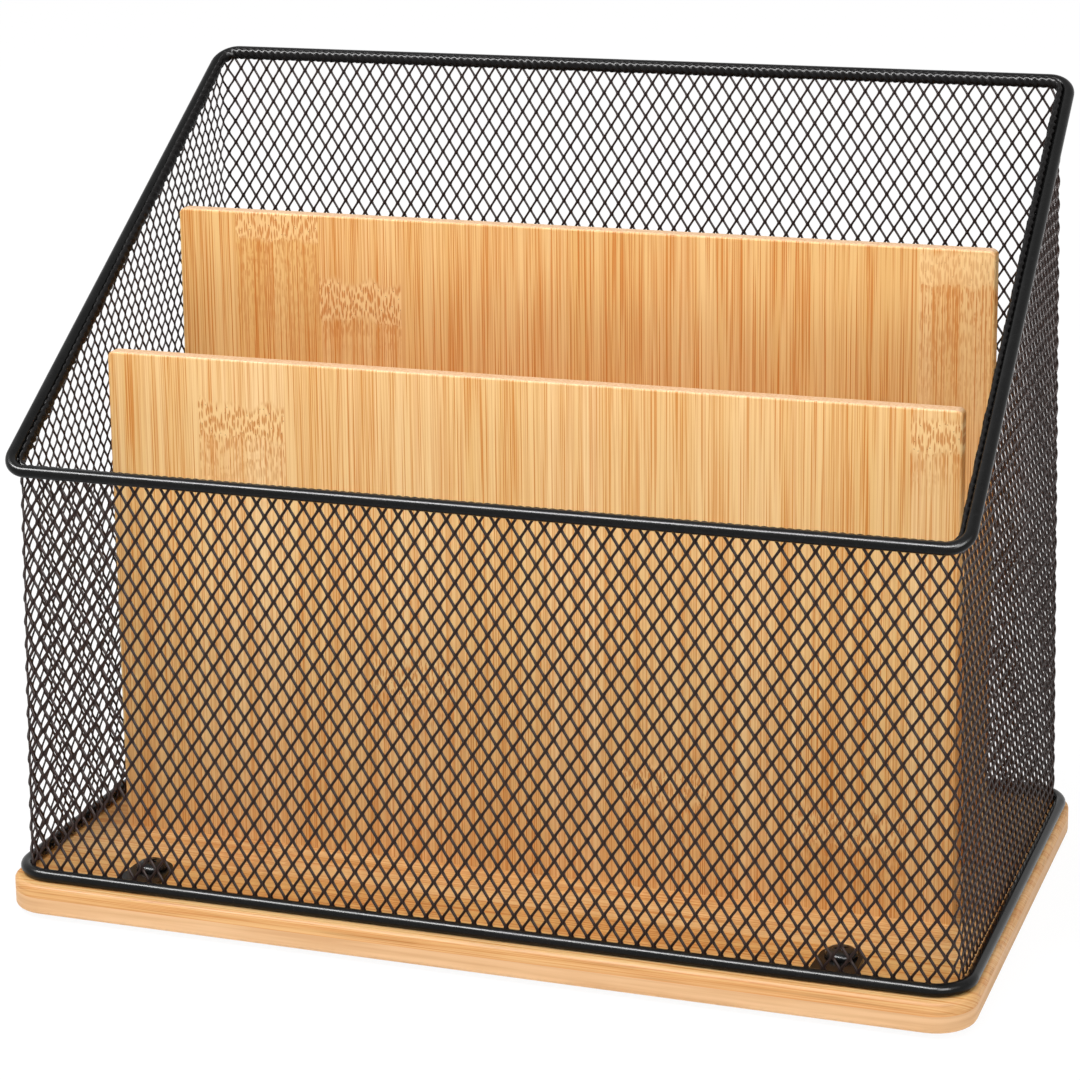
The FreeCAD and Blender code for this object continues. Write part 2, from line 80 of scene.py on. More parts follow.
# The rolled edge inside the rim, at four places from the front to the back: its middle above the rim's, its
# half height, its half thickness and how high its ridges stand. Then how far its middle lies out of the mesh's
# surface, the sections to a ridge, the points round a section, the ridges' slant and the bounds of their uneven
# heights. The strands end inside it, at a share of its half height above its middle.
HEM_PLACES = (0.0, 0.05, 0.9, 1.0)
HEM_DROP = (-0.1 * MM, -0.25 * MM, -0.25 * MM, -0.35 * MM)
HEM_TALL = (1.55 * MM, 2.4 * MM, 2.4 * MM, 1.85 * MM)
HEM_WIDE = (0.8 * MM, 1.0 * MM, 1.0 * MM, 0.9 * MM)
HEM_RIDGE = (0.12 * MM, 0.33 * MM, 0.33 * MM, 0.24 * MM)
HEM_OUT = 0.15 * MM
HEM_STEPS = 8
HEM_SIDES = 10
HEM_SLANT = 3
HEM_UNEVEN = (0.5, 1.5)
HEM_SEED = 5
STRAND_END = 0.6


# ---------------------------------------------------------------- meshes

def put_in_scene(name, data):
    """A new object with this mesh, lamp or camera."""
    item = bpy.data.objects.new(name, data)
    bpy.context.scene.collection.objects.link(item)
    return item


def new_piece(name, points, faces, material, smooth_faces=True):
    mesh = bpy.data.meshes.new(name)
    mesh.from_pydata([tuple(point) for point in points], [], [tuple(face) for face in faces])
    mesh.update()
    mesh.materials.append(material)
    if smooth_faces:
        mesh.polygons.foreach_set("use_smooth", [True] * len(mesh.polygons))
    return put_in_scene(name, mesh)


def settle(piece, slot, *nodes):
    """The piece rides on the object and stands for the CAD nodes that are named, which are hidden. The slot is
    not used.
    """
    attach(piece, "root")
    if nodes:
        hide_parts(*nodes)
    return piece


def ring_faces(rings, sides, offset=0):
    """The faces of a closed bar whose section rings begin at an offset."""
    faces = [tuple(offset + side for side in reversed(range(sides)))]
    for ring in range(rings - 1):
        low = offset + ring * sides
        for side in range(sides):
            following = (side + 1) % sides
            faces.append((low + side, low + following, low + sides + following, low + sides + side))
    faces.append(tuple(offset + (rings - 1) * sides + side for side in range(sides)))
    return faces


# ---------------------------------------------------------------- the basket's surface

class Basket:
    """The surface that the mesh lies in: a rounded loop at every level, drawn in towards the rim."""

    def __init__(self):
        ring_low, ring_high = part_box("base_ring")
        rim_low, rim_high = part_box("top_rim")
        self.ring_level = ring_low.z + ROD_RADIUS
        self.half_width = ring_high.x - ROD_RADIUS
        self.half_depth = ring_high.y - ROD_RADIUS
        self.rim_level = {-1: rim_low.z + ROD_RADIUS, 1: rim_high.z - ROD_RADIUS}
        self.rim_y = {-1: rim_low.y + ROD_RADIUS, 1: rim_high.y - ROD_RADIUS}
        self.rim_half_width = rim_high.x - ROD_RADIUS
        self.foot = self.ring_level - ROD_RADIUS + MESH_FOOT

    def along(self, y):
        """0 where the mesh stands at the front of the rim, 1 at its back."""
        front_y, back_y = self.rim_y[-1] + MESH_INSET, self.rim_y[1] - MESH_INSET
        return np.clip((y - front_y) / (back_y - front_y), 0, 1)

    def hem(self, y):
        """The level of the middle of the rolled edge, its half height, its half thickness and its ridges."""
        along = self.along(y)
        rim = self.rim_level[-1] + along * (self.rim_level[1] - self.rim_level[-1])
        drop, tall, wide, ridge = (np.interp(along, HEM_PLACES, values)
                                   for values in (HEM_DROP, HEM_TALL, HEM_WIDE, HEM_RIDGE))
        return rim + drop, tall, wide, ridge

    def top(self, y):
        """The height at which the strands end, inside the rolled edge."""
        middle, tall, _, _ = self.hem(y)
        return middle + tall * STRAND_END

    def corner(self, end, level):
        """A right-hand corner at a level: its centre and its radius. The left is its mirror image."""
        climb = (level - self.ring_level) / (self.rim_level[end] - self.ring_level)
        lean = (level - self.ring_level) / (self.rim_level[-1] - self.ring_level)
        radius = MESH_CORNERS[0] + (MESH_CORNERS[1] - MESH_CORNERS[0]) * climb
        half_width = self.half_width + (self.rim_half_width - self.half_width) * lean - MESH_INSET
        rim_inset = self.half_depth - end * self.rim_y[end]
        half_depth = self.half_depth - rim_inset * climb - MESH_INSET
        return half_width - radius, end * (half_depth - radius), radius

    def half_loop(self, level):
        """Where the front, the corner, the side, the other corner and the back end, from the front's middle."""
        front_x, front_y, front_radius = self.corner(-1, level)
        back_x, back_y, back_radius = self.corner(1, level)
        lengths = (front_x, front_radius * math.pi / 2, back_y - front_y, back_radius * math.pi / 2, back_x)
        return np.cumsum(np.stack(np.broadcast_arrays(*lengths)), axis=0)

    def place(self, share, level, out):
        """Points from the share of the half loop, -1 to 1, the level, and the distance out of the surface."""
        ends = self.half_loop(level)
        hand = np.where(share < 0, -1.0, 1.0)
        along = np.abs(share) * ends[-1]
        front_x, front_y, front_radius = self.corner(-1, level)
        back_x, back_y, back_radius = self.corner(1, level)
        front_turn = (along - ends[0]) / front_radius - math.pi / 2
        back_turn = (along - ends[2]) / back_radius
        side_share = (along - ends[1]) / (ends[2] - ends[1])
        side_radius = front_radius + (back_radius - front_radius) * side_share
        stretches = [along < ends[0], along < ends[1], along < ends[2], along < ends[3]]
        x = np.select(stretches, [along,
                                  front_x + np.cos(front_turn) * (front_radius + out),
                                  front_x + (back_x - front_x) * side_share + side_radius + out,
                                  back_x + np.cos(back_turn) * (back_radius + out)],
                      ends[-1] - along)
        y = np.select(stretches, [front_y - front_radius - out,
                                  front_y + np.sin(front_turn) * (front_radius + out),
                                  front_y + (back_y - front_y) * side_share,
                                  back_y + np.sin(back_turn) * (back_radius + out)],
                      back_y + back_radius + out)
        return np.stack([x * hand, y, level], -1)


# ---------------------------------------------------------------- the expanded metal

# A strand's section, from its right edge round its back: share from the left edge, and side.
SECTION = np.array([(1.0, 0), (0.8, -1), (0.2, -1), (0.0, 0), (0.2, 1), (0.8, 1)])


def wrapped(share):
    """The same place on the loop as a share from -1 to 1."""
    return (share + 1) % 2 - 1


class Strip:
    """The strip of expanded metal, as a grid of columns and rows laid round the basket."""

    def __init__(self, basket):
        self.basket = basket
        self.ends = basket.half_loop(np.array(basket.ring_level))
        front, back = self.ends[0] / FRONT_PITCH, (self.ends[4] - self.ends[3]) / BACK_PITCH
        side = (self.ends[3] - self.ends[0]) / SIDE_PITCH
        self.columns = round(front + side + back)
        self.knots = (np.array([0, front, self.columns - back, self.columns]),
                      np.array([0, self.ends[0], self.ends[3], self.ends[4]]))

    def share(self, column):
        """The share of the half loop at a column counted from the front's middle, less than 0 on the left."""
        nearest = (column + self.columns) % (2 * self.columns) - self.columns
        shifts = (FRONT_SHIFT, FRONT_SHIFT, BACK_SHIFT, BACK_SHIFT)
        shift = np.interp(np.abs(nearest), self.knots[0], shifts)
        return wrapped((np.sign(nearest) * np.interp(np.abs(nearest), *self.knots) + shift) / self.ends[4])

    def backward(self, share):
        """0 along the front, 1 along the back, and between them along the sides."""
        bounds = self.ends[[0, 3]] / self.ends[4]
        return np.clip((np.abs(share) - bounds[0]) / (bounds[1] - bounds[0]), 0, 1)

    def strand_width(self, share):
        side = LEFT_STRAND if share < 0 else RIGHT_STRAND
        return np.interp(self.backward(share), SIDE_BLEND, (FRONT_STRAND, side, side, BACK_STRAND))

    def rows(self, share):
        """The first row's height and the rows' spacing, which change a little from the front to the back."""
        backward = self.backward(share)
        return [front + (back - front) * backward for front, back in zip(FRONT_ROWS, BACK_ROWS)]

    def level(self, row, share):
        first, spacing = self.rows(share)
        return first + row * spacing


def strand_edge(beat, bond, tip):
    """How far a strand's left edge is on its way to the bond on the right, by the rows since the left one."""
    slope = (1 - bond) / (0.5 - BLUNT_CORNER - tip)
    return np.interp(beat, [0, tip, 0.5 - tip, 0.5], [0, 0, slope * (0.5 - 2 * tip), 1 - bond])


def strand_rows(strip, middle, tip, ceiling):
    """The rows at which a strand has its sections, from the mesh's foot to the ceiling."""
    steps = (0.0, tip, 0.5 - tip, 0.5, 0.5 + tip, 1 - tip)
    rows = np.array([row + step for row in range(MOST_ROWS) for step in steps])
    levels = strip.level(rows, middle)
    inside = np.flatnonzero((levels > strip.basket.foot) & (levels < ceiling))
    kept = slice(inside[0] - 1, inside[-1] + 2)
    rows, levels = rows[kept], levels[kept]
    for last, limit, inner in ((0, strip.basket.foot, 1), (-1, ceiling, -2)):
        run, climb = rows[last] - rows[inner], levels[last] - levels[inner]
        rows[last] = rows[inner] + run * (limit - levels[inner]) / climb
    return rows


def strand_points(strip, column, hand):
    """One strand's section rings and the share of the loop where it stands. Hand is -1 left of its bonds."""
    basket, half_loop = strip.basket, strip.ends[4]
    start, end = (float(strip.share(np.array(edge))) for edge in sorted((column, column + hand * 0.5)))
    reach = wrapped(end - start)
    middle = start + reach / 2
    wide = strip.strand_width(wrapped(middle))
    bond = BOND_WIDTH * wide / (reach * half_loop)
    tip = BOND_HEIGHT * wide / strip.rows(middle)[1]
    ceiling_y = basket.place(np.array(middle), np.array(basket.rim_level[-1]), np.array(0.0))[1]
    rows = strand_rows(strip, middle, tip, float(basket.top(ceiling_y)))
    beat = np.abs(rows - np.round(rows))
    if hand < 0:
        beat = 0.5 - beat
    left, right = strand_edge(beat, bond, tip), 1 - strand_edge(0.5 - beat, bond, tip)
    depth = BOND_WIDTH * wide * math.tan(BOND_TILT) / (1 - bond)
    across, side = SECTION[None, :, 0], SECTION[None, :, 1] * STRAND_THICK / 2
    shares = start + reach * (left[:, None] + (right - left)[:, None] * across)
    shares = wrapped(shares + side * math.sin(BOND_TILT) / half_loop)
    outs = depth * (left[:, None] * (1 - across) - (1 - right)[:, None] * across)
    outs = outs + side * math.cos(BOND_TILT)
    heights = np.repeat(strip.level(rows, middle)[:, None], len(SECTION), axis=1)
    points = basket.place(shares, heights, outs)
    heights[-1] = basket.top(points[-1, :, 1])
    return basket.place(shares, heights, outs).reshape(-1, 3), wrapped(middle)


def stretch_of(strip, share):
    """The name of the piece that a strand belongs to, and the CAD node that it stands for."""
    side = "left" if share < 0 else "right"
    names = ("mesh_front", f"mesh_corner_front_{side}", f"mesh_{side}", f"mesh_corner_back_{side}",
             f"mesh_back_{side}")
    name = names[int(np.searchsorted(strip.ends[:4] / strip.ends[4], abs(share)))]
    return name, "mesh_back" if name.startswith("mesh_back") else name


def make_expanded_metal(strip, material):
    gathered = {}
    for column in range(2 * strip.columns):
        for hand in (-1, 1):
            points, share = strand_points(strip, column - strip.columns, hand)
            gathered.setdefault(stretch_of(strip, share), []).append(points)
    for (name, node), strands in gathered.items():
        faces, offset = [], 0
        for points in strands:
            faces += ring_faces(len(points) // len(SECTION), len(SECTION), offset)
            offset += len(points)
        settle(new_piece(name + "_strands", np.concatenate(strands), faces, material), "powder_coat", node)


def make_hem(strip, material):
    """The mesh's edge, rolled and pressed against the inside of the rim, with a slanting ridge for each
    strand. The first loop finds the level at which each section meets the sloping rim."""
    basket = strip.basket
    ridges = 4 * strip.columns
    columns = np.arange(ridges * HEM_STEPS) / (2 * HEM_STEPS) - strip.columns
    shares = strip.share(columns)
    levels = np.full_like(shares, basket.rim_level[-1])
    for _ in range(3):
        levels, tall, wide, ridge = basket.hem(basket.place(shares, levels, 0.0)[:, 1])
    turns = np.arange(HEM_SIDES) * 2 * math.pi / HEM_SIDES
    uneven = np.random.default_rng(HEM_SEED).uniform(*HEM_UNEVEN, ridges + 1)
    uneven[-1] = uneven[0]
    height = (np.interp(2 * (columns + strip.columns), np.arange(ridges + 1), uneven) * ridge)[:, None]
    slant = 4 * math.pi * columns[:, None] + HEM_SLANT * turns[None, :]
    swell = height * (2 * np.abs(np.cos(slant / 2)) - 1)
    outs = HEM_OUT + (wide[:, None] + swell) * np.cos(turns)
    heights = levels[:, None] + (tall[:, None] + swell) * np.sin(turns)
    points = basket.place(np.repeat(shares[:, None], HEM_SIDES, axis=1), heights, outs).reshape(-1, 3)
    faces, count = [], len(points)
    for low in range(0, count, HEM_SIDES):
        high = (low + HEM_SIDES) % count
        for side in range(HEM_SIDES):
            following = (side + 1) % HEM_SIDES
            faces.append((high + side, high + following, low + following, low + side))
    settle(new_piece("mesh_hem", points, faces, material), "powder_coat")


# ---------------------------------------------------------------- material nodes

def node_material(name, colour, roughness):
    material = bpy.data.materials.new(name)
    material.use_nodes = True
    tree = material.node_tree
    shader = tree.nodes["Principled BSDF"]
    shader.inputs["Base Color"].default_value = (*colour, 1)
    shader.inputs["Roughness"].default_value = roughness
    return material, tree, shader


def join(tree, value, socket):
    """Links an output to a socket, or sets the socket to a plain value."""
    if isinstance(value, bpy.types.NodeSocket):
        tree.links.new(value, socket)
    else:
        socket.default_value = value


def add(tree, kind, settings=(), **inputs):
    """A node of this kind with its settings, and its inputs by name, an output or a value for each."""
    node = tree.nodes.new("ShaderNode" + kind)
    for key, value in dict(settings).items():
        setattr(node, key, value)
    for key, value in inputs.items():
        join(tree, value, node.inputs[key.replace("_", " ")])
    return node


def math_node(tree, operation, *values):
    node = tree.nodes.new("ShaderNodeMath")
    node.operation = operation
    for socket, value in zip(node.inputs, values):
        join(tree, value, socket)
    return node.outputs[0]


def product(tree, first, second):
    return math_node(tree, "MULTIPLY", first, second)


def vector_of(tree, *values):
    node = tree.nodes.new("ShaderNodeCombineXYZ")
    for socket, value in zip(node.inputs, values):
        join(tree, value, socket)
    return node.outputs[0]


def parts_of(tree, vector):
    return list(add(tree, "SeparateXYZ", Vector=vector).outputs)


def noise(tree, place, scale, detail, roughness=0.5):
    return add(tree, "TexNoise", Vector=place, Scale=scale, Detail=detail, Roughness=roughness).outputs["Fac"]


def ramp(tree, factor, *stops, interpolation="LINEAR"):
    """A colour ramp, each stop a place and a colour or a grey."""
    node = tree.nodes.new("ShaderNodeValToRGB")
    tree.links.new(factor, node.inputs["Fac"])
    node.color_ramp.interpolation = interpolation
    elements = node.color_ramp.elements
    elements.remove(elements[-1])
    for index, (place, colour) in enumerate(stops):
        element = elements[0] if index == 0 else elements.new(place)
        element.position = place
        element.color = (*colour, 1) if isinstance(colour, tuple) else (colour, colour, colour, 1)
    return node.outputs["Color"]


def mix(tree, factor, first, second, blend="MIX"):
    node = tree.nodes.new("ShaderNodeMix")
    node.data_type = "RGBA"
    node.blend_type = blend
    join(tree, factor, node.inputs[0])
    for value, socket in ((first, node.inputs[6]), (second, node.inputs[7])):
        join(tree, (*value, 1) if isinstance(value, tuple) else value, socket)
    return node.outputs[2]


def srgb(*values):
    """A colour from its 0 to 255 values on screen, as the shader wants it."""
    shares = [value / 255 for value in values]
    return tuple(share / 12.92 if share <= 0.04045 else ((share + 0.055) / 1.055) ** 2.4 for share in shares)


def scaled(colour, share):
    return tuple(part * share for part in colour)


def object_place(tree):
    return add(tree, "TexCoord").outputs["Object"]


def add_bump(tree, shader, height, strength, distance):
    bump = add(tree, "Bump", Strength=strength, Distance=distance, Height=height)
    tree.links.new(bump.outputs["Normal"], shader.inputs["Normal"])


def share_of(tree, value, low, high, interpolation="LINEAR"):
    """0 to 1 as the value goes from one bound to the other, which may be the lower one."""
    settings = {"interpolation_type": interpolation}
    return add(tree, "MapRange", settings, Value=value, From_Min=low, From_Max=high).outputs["Result"]


def between(tree, value, low, high, soft):
    """1 where the value lies between low and high, falling to 0 over a soft edge."""
    rising = share_of(tree, value, low - soft, low + soft, "SMOOTHSTEP")
    falling = share_of(tree, value, high + soft, high - soft, "SMOOTHSTEP")
    return product(tree, rising, falling)


def facing_up(tree, low, high):
    """0 to 1 as the height of the surface's normal goes from low to high."""
    return share_of(tree, parts_of(tree, add(tree, "NewGeometry").outputs["Normal"])[2], low, high)


def black_finish(name, tone, gloss, specular):
    """A black coat with a fine orange-peel skin. Its colour follows the skin's bumps, darker in the hollows and
    paler on the peaks, with light specks on the highest: painted shade and painted glints.
    """
    material, tree, shader = node_material(name, tone, gloss)
    place = object_place(tree)
    peel = noise(tree, place, 700.0, 3.0, 0.6)
    wear = noise(tree, place, 60.0, 4.0, 0.7)
    # Painted shade and glints: the colour is darker in the skin's hollows and paler on its peaks, with pale
    # specks on the highest.
    colour = ramp(tree, peel, (0.3, scaled(tone, 0.75)), (0.62, scaled(tone, 1.2)), (0.72, scaled(tone, 1.9)))
    tree.links.new(colour, shader.inputs["Base Color"])
    rough = ramp(tree, wear, (0.35, gloss * 0.85), (0.65, gloss * 1.25))
    tree.links.new(rough, shader.inputs["Roughness"])
    shader.inputs["Specular IOR Level"].default_value = specular
    add_bump(tree, shader, peel, 0.3, 0.1 * MM)
    return material


# ---------------------------------------------------------------- bamboo

PALE = srgb(242, 203, 141)
LIGHT = srgb(238, 196, 131)
MIDDLE = srgb(234, 188, 120)
DARK = srgb(208, 128, 40)
NODE_BROWN = srgb(200, 120, 40)
PORE_BROWN = srgb(150, 84, 22)
WASH_DARK = (0.88, 0.76, 0.47)
WASH_PALE = (1.02, 1.04, 1.15)
END_GRAIN = ((0.32, srgb(214, 166, 120)), (0.5, srgb(222, 182, 142)), (0.7, srgb(232, 194, 154)))
UPPER_LAYER = ((0.34, srgb(158, 102, 56)), (0.44, srgb(188, 134, 84)), (0.6, srgb(200, 152, 102)))
LOWER_LAYER = ((0.35, srgb(203, 158, 112)), (0.6, srgb(217, 176, 132)))

# Strips are (end, tone) pairs across the grain, tone 1 the palest, and the first is FIRST_STRIP wide. Joints are
# their growth marks: (from, to, height, half height, trail below it, strength). All lengths are in metres.
FIRST_STRIP = 0.03
BOARD_STRIPS = [(-0.066, 0.7), (-0.04, 0.35), (-0.013, 0.8), (0.012, 0.5), (0.037, 0.9), (0.063, 0.4),
                (0.1, 0.65)]
BOARD_JOINTS = [(-0.04, -0.013, -0.08, 0.004, 0.03, 0.7), (0.012, 0.037, 0.06, 0.004, 0.03, 0.7)]
FRONT_STRIPS = [(-0.1106, 0.72), (-0.08, 0.95), (-0.051, 0.7), (-0.022, 0.85), (0.007, 0.66), (0.035, 0.92),
                (0.064, 0.75), (0.092, 0.82), (0.127, 0.62), (0.15, 0.85)]
FRONT_JOINTS = [(-0.1106, -0.08, 0.1575, 0.0055, 0.03, 0.85), (0.127, 0.15, 0.169, 0.005, 0.015, 0.8),
                (-0.051, -0.022, 0.075, 0.006, 0.02, 0.8), (0.035, 0.064, 0.048, 0.006, 0.02, 0.8),
                (0.092, 0.127, 0.04, 0.006, 0.02, 0.8)]
# The rear strips' tones sit lower than the front's as a whole, so the wash darkens them and deepens their orange.
# This is painted shade and painted bounce light from the wood in front, laid over the strips' own differences in
# tone.
REAR_STRIPS = [(-0.1204, 0.45), (-0.0899, 0.35), (-0.0602, 0.6), (-0.031, 0.5), (-0.002, 0.56), (0.026, 0.42),
               (0.056, 0.55), (0.086, 0.48), (0.117, 0.4), (0.15, 0.66)]
REAR_JOINTS = [(-0.1204, -0.0899, 0.2125, 0.005, 0.045, 0.85), (-0.0899, -0.0602, 0.1875, 0.0065, 0.015, 0.9),
               (0.117, 0.15, 0.2095, 0.005, 0.055, 0.45)]

# Each tone takes its own part of the patterns. Noise bends the growth marks along the grain and makes their ends
# ragged, about the middle that RAGGED_MIDDLE gives. The marks are paler than the wood round them.
TONE_SHIFT = 97.0
MARK_BEND = 0.012
MARK_RAGGED = 0.009
RAGGED_MIDDLE = 0.0045
MARK_SIDE_BLUR = 0.2 * MM
MARK_END_BLUR = 1.5 * MM
MARK_PALE = 0.7
DASH_STRENGTH = 0.75

# The board: the level where its two layers meet, half the height of the glue line, and how far the pattern
# moves across for each metre of height.
SPLIT_LEVEL = 7.8 * MM
HALF_SEAM = 0.1 * MM
EDGE_SLANT = 1.7


def stretched_noise(tree, side, run, shift, across, along, detail, roughness=0.5):
    """Noise drawn out along the grain, by how many of its waves lie in a metre each way."""
    place = vector_of(tree, product(tree, side, across), product(tree, run, along), shift)
    return noise(tree, place, 1.0, detail, roughness)


def fibre_spots(tree, side, run, shift, across, along, size):
    """1 inside long thin spots round scattered points, by how many of them lie in a metre each way."""
    place = vector_of(tree, math_node(tree, "MULTIPLY_ADD", side, across, shift),
                      math_node(tree, "MULTIPLY_ADD", run, along, shift))
    spots = add(tree, "TexVoronoi", {"voronoi_dimensions": "2D"}, Vector=place, Scale=1.0)
    return share_of(tree, spots.outputs["Distance"], size, size * 0.6)


def stained(tree, colour, mask, strength, stain):
    return mix(tree, product(tree, mask, strength), colour, stain)


def fibre_colour(tree, side, run, tone, shift, fineness):
    """The colour between joints: soft bands, fine long lines and darker fibres of some centimetres."""
    bands = stretched_noise(tree, side, run, shift, 260.0 * fineness, 2.5, 2.0)
    lines = stretched_noise(tree, side, run, shift, 1700.0 * fineness, 5.0, 1.0, 0.6)
    depth = math_node(tree, "MULTIPLY_ADD", tone, -0.7, 1.38)
    colour = ramp(tree, bands, (0.34, MIDDLE), (0.47, LIGHT), (0.62, PALE))
    colour = stained(tree, colour, share_of(tree, lines, 0.5, 0.38), 0.4, DARK)
    thick = fibre_spots(tree, side, run, shift, 1150.0 * fineness, 7.0, 0.24)
    thin = fibre_spots(tree, side, run, shift, 1750.0 * fineness, 15.0, 0.35)
    crowded = share_of(tree, bands, 0.7, 0.3)
    colour = stained(tree, colour, product(tree, thin, crowded), depth, DARK)
    colour = stained(tree, colour, thick, depth, DARK)
    wash = ramp(tree, tone, (0.0, WASH_DARK), (1.0, WASH_PALE))
    return mix(tree, 1.0, colour, wash, "MULTIPLY"), lines


def strip_tones(tree, side, strips):
    """The tone of the strip that a place lies in."""
    low, high = strips[0][0] - FIRST_STRIP, strips[-1][0]
    stops, begin = [], low
    for end, tone in strips:
        stops.append(((begin - low) / (high - low), tone))
        begin = end
    return ramp(tree, share_of(tree, side, low, high), *stops, interpolation="CONSTANT")


def bamboo_colour(tree, side, run, strips, joints, fineness=1.0):
    """The colour of a laminated face: its strips, their fibres, and at each joint a pale mark with brown
    flecks and pores and with dashes trailing below."""
    tone = strip_tones(tree, side, strips)
    shift = product(tree, tone, TONE_SHIFT)
    colour, lines = fibre_colour(tree, side, run, tone, shift, fineness)
    wander = stretched_noise(tree, side, run, shift, 150.0, 40.0, 2.0)
    bent = math_node(tree, "MULTIPLY_ADD", wander, MARK_BEND, run)
    flecks = fibre_spots(tree, side, bent, shift, 1350.0, 250.0, 0.45)
    pores = fibre_spots(tree, side, bent, shift, 330.0, 300.0, 0.06)
    dashes = fibre_spots(tree, side, bent, shift, 1450.0, 190.0, 0.42)
    waves = share_of(tree, stretched_noise(tree, side, bent, shift, 70.0, 330.0, 1.0), 0.3, 0.48)
    dashes = product(tree, dashes, waves)
    ragged = math_node(tree, "SUBTRACT", run, RAGGED_MIDDLE)
    ragged = math_node(tree, "MULTIPLY_ADD", wander, MARK_RAGGED, ragged)
    for left, right, height, half, trail, strength in joints:
        within = between(tree, side, left, right, MARK_SIDE_BLUR)
        centre = product(tree, within, between(tree, ragged, height - half, height + half, MARK_END_BLUR))
        colour = stained(tree, colour, centre, MARK_PALE, PALE)
        colour = stained(tree, colour, product(tree, centre, flecks), strength, NODE_BROWN)
        colour = stained(tree, colour, product(tree, centre, pores), strength, PORE_BROWN)
        below = product(tree, within, share_of(tree, run, height - half - trail, height - half))
        below = product(tree, below, math_node(tree, "LESS_THAN", ragged, height - half))
        colour = stained(tree, colour, product(tree, below, dashes), DASH_STRENGTH, NODE_BROWN)
    return colour, lines


def finish_bamboo(tree, shader, colour, lines):
    tree.links.new(colour, shader.inputs["Base Color"])
    rough = ramp(tree, lines, (0.3, 0.62), (0.7, 0.46))
    tree.links.new(rough, shader.inputs["Roughness"])
    shader.inputs["Specular IOR Level"].default_value = 0.18
    add_bump(tree, shader, lines, 0.12, 0.2 * MM)


def divider_bamboo(name, strips, joints):
    """Upright grain on the faces and cut fibre ends along the top."""
    material, tree, shader = node_material(name, LIGHT, 0.5)
    place = object_place(tree)
    x, _, z = parts_of(tree, place)
    colour, lines = bamboo_colour(tree, x, z, strips, joints)
    end_grain = ramp(tree, noise(tree, place, 1300.0, 2.0), *END_GRAIN)
    colour = mix(tree, facing_up(tree, 0.55, 0.85), colour, end_grain)
    finish_bamboo(tree, shader, colour, lines)
    return material


def layer_colour(tree, parts, scales, stops):
    """The streaks along the board's edge in one of its layers, by how many waves lie in a metre each way."""
    place = vector_of(tree, *(product(tree, part, scale) for part, scale in zip(parts, scales)))
    return ramp(tree, noise(tree, place, 1.0, 3.0), *stops)


def board_bamboo(name):
    """Grain from left to right, in a darker upper layer and a paler lower one."""
    material, tree, shader = node_material(name, LIGHT, 0.5)
    x, y, z = parts_of(tree, object_place(tree))
    side = math_node(tree, "MULTIPLY_ADD", z, EDGE_SLANT, y)
    top, lines = bamboo_colour(tree, side, x, BOARD_STRIPS, BOARD_JOINTS, fineness=0.7)
    upper = mix(tree, 0.55, top, layer_colour(tree, (x, y, z), (22.0, 120.0, 700.0), UPPER_LAYER))
    lower = layer_colour(tree, (x, y, z), (16.0, 16.0, 500.0), LOWER_LAYER)
    sides = mix(tree, math_node(tree, "GREATER_THAN", z, SPLIT_LEVEL), lower, upper)
    seam = between(tree, z, SPLIT_LEVEL - HALF_SEAM, SPLIT_LEVEL + HALF_SEAM, HALF_SEAM)
    sides = stained(tree, sides, seam, 0.5, DARK)
    colour = mix(tree, facing_up(tree, 0.9, 0.99), sides, mix(tree, 0.25, top, upper))
    finish_bamboo(tree, shader, colour, lines)
    return material


# ---------------------------------------------------------------- boards

ROUND_STEPS = 8
EASING_STEPS = 4
BOARD_CORNER = 13.5 * MM
BOARD_EASING = 1.3 * MM
DIVIDER_CORNER = 2.2 * MM
DIVIDER_EASING = 0.9 * MM
FLAT_AREA = 3e-4


def rounded_outline(low, high, corner):
    """The points of a rectangle with round corners, counterclockwise."""
    points = []
    for side, end, start in ((1, -1, -90), (1, 1, 0), (-1, 1, 90), (-1, -1, 180)):
        centre_x = (high[0] if side > 0 else low[0]) - side * corner
        centre_y = (high[1] if end > 0 else low[1]) - end * corner
        for step in range(ROUND_STEPS + 1):
            angle = math.radians(start + 90 * step / ROUND_STEPS)
            points.append((centre_x + corner * math.cos(angle), centre_y + corner * math.sin(angle)))
    return points


def outward_normals(outline):
    """The direction away from the outline at each of its points."""
    points = np.array(outline)
    before = points - np.roll(points, 1, axis=0)
    after = np.roll(points, -1, axis=0) - points
    across = before / np.linalg.norm(before, axis=1)[:, None] + after / np.linalg.norm(after, axis=1)[:, None]
    across /= np.linalg.norm(across, axis=1)[:, None]
    return np.stack([across[:, 1], -across[:, 0]], -1)


def eased_slab(name, outline, low, high, easing, to_space, material):
    """A slab of this outline between two levels, with its rims rounded over. Faces larger than FLAT_AREA, in
    square metres, are shaded flat."""
    rings = []
    for step in range(EASING_STEPS + 1):
        angle = math.pi / 2 * step / EASING_STEPS
        rings.append((easing * (1 - math.sin(angle)), low + easing * (1 - math.cos(angle))))
    rings += [(inset, low + high - level) for inset, level in reversed(rings)]
    normals = outward_normals(outline)
    points = [to_space(x - nx * inset, y - ny * inset, level)
              for inset, level in rings for (x, y), (nx, ny) in zip(outline, normals)]
    slab = new_piece(name, points, ring_faces(len(rings), len(outline)), material)
    for face in slab.data.polygons:
        face.use_smooth = len(face.vertices) == 4 and face.area < FLAT_AREA
    return slab


def make_board(material):
    low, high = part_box("base_board")
    outline = rounded_outline(low, high, BOARD_CORNER)
    board = eased_slab("base_board_bamboo", outline, low.z, high.z, BOARD_EASING,
                       lambda x, y, level: (x, y, level), material)
    return settle(board, "bamboo", "base_board")


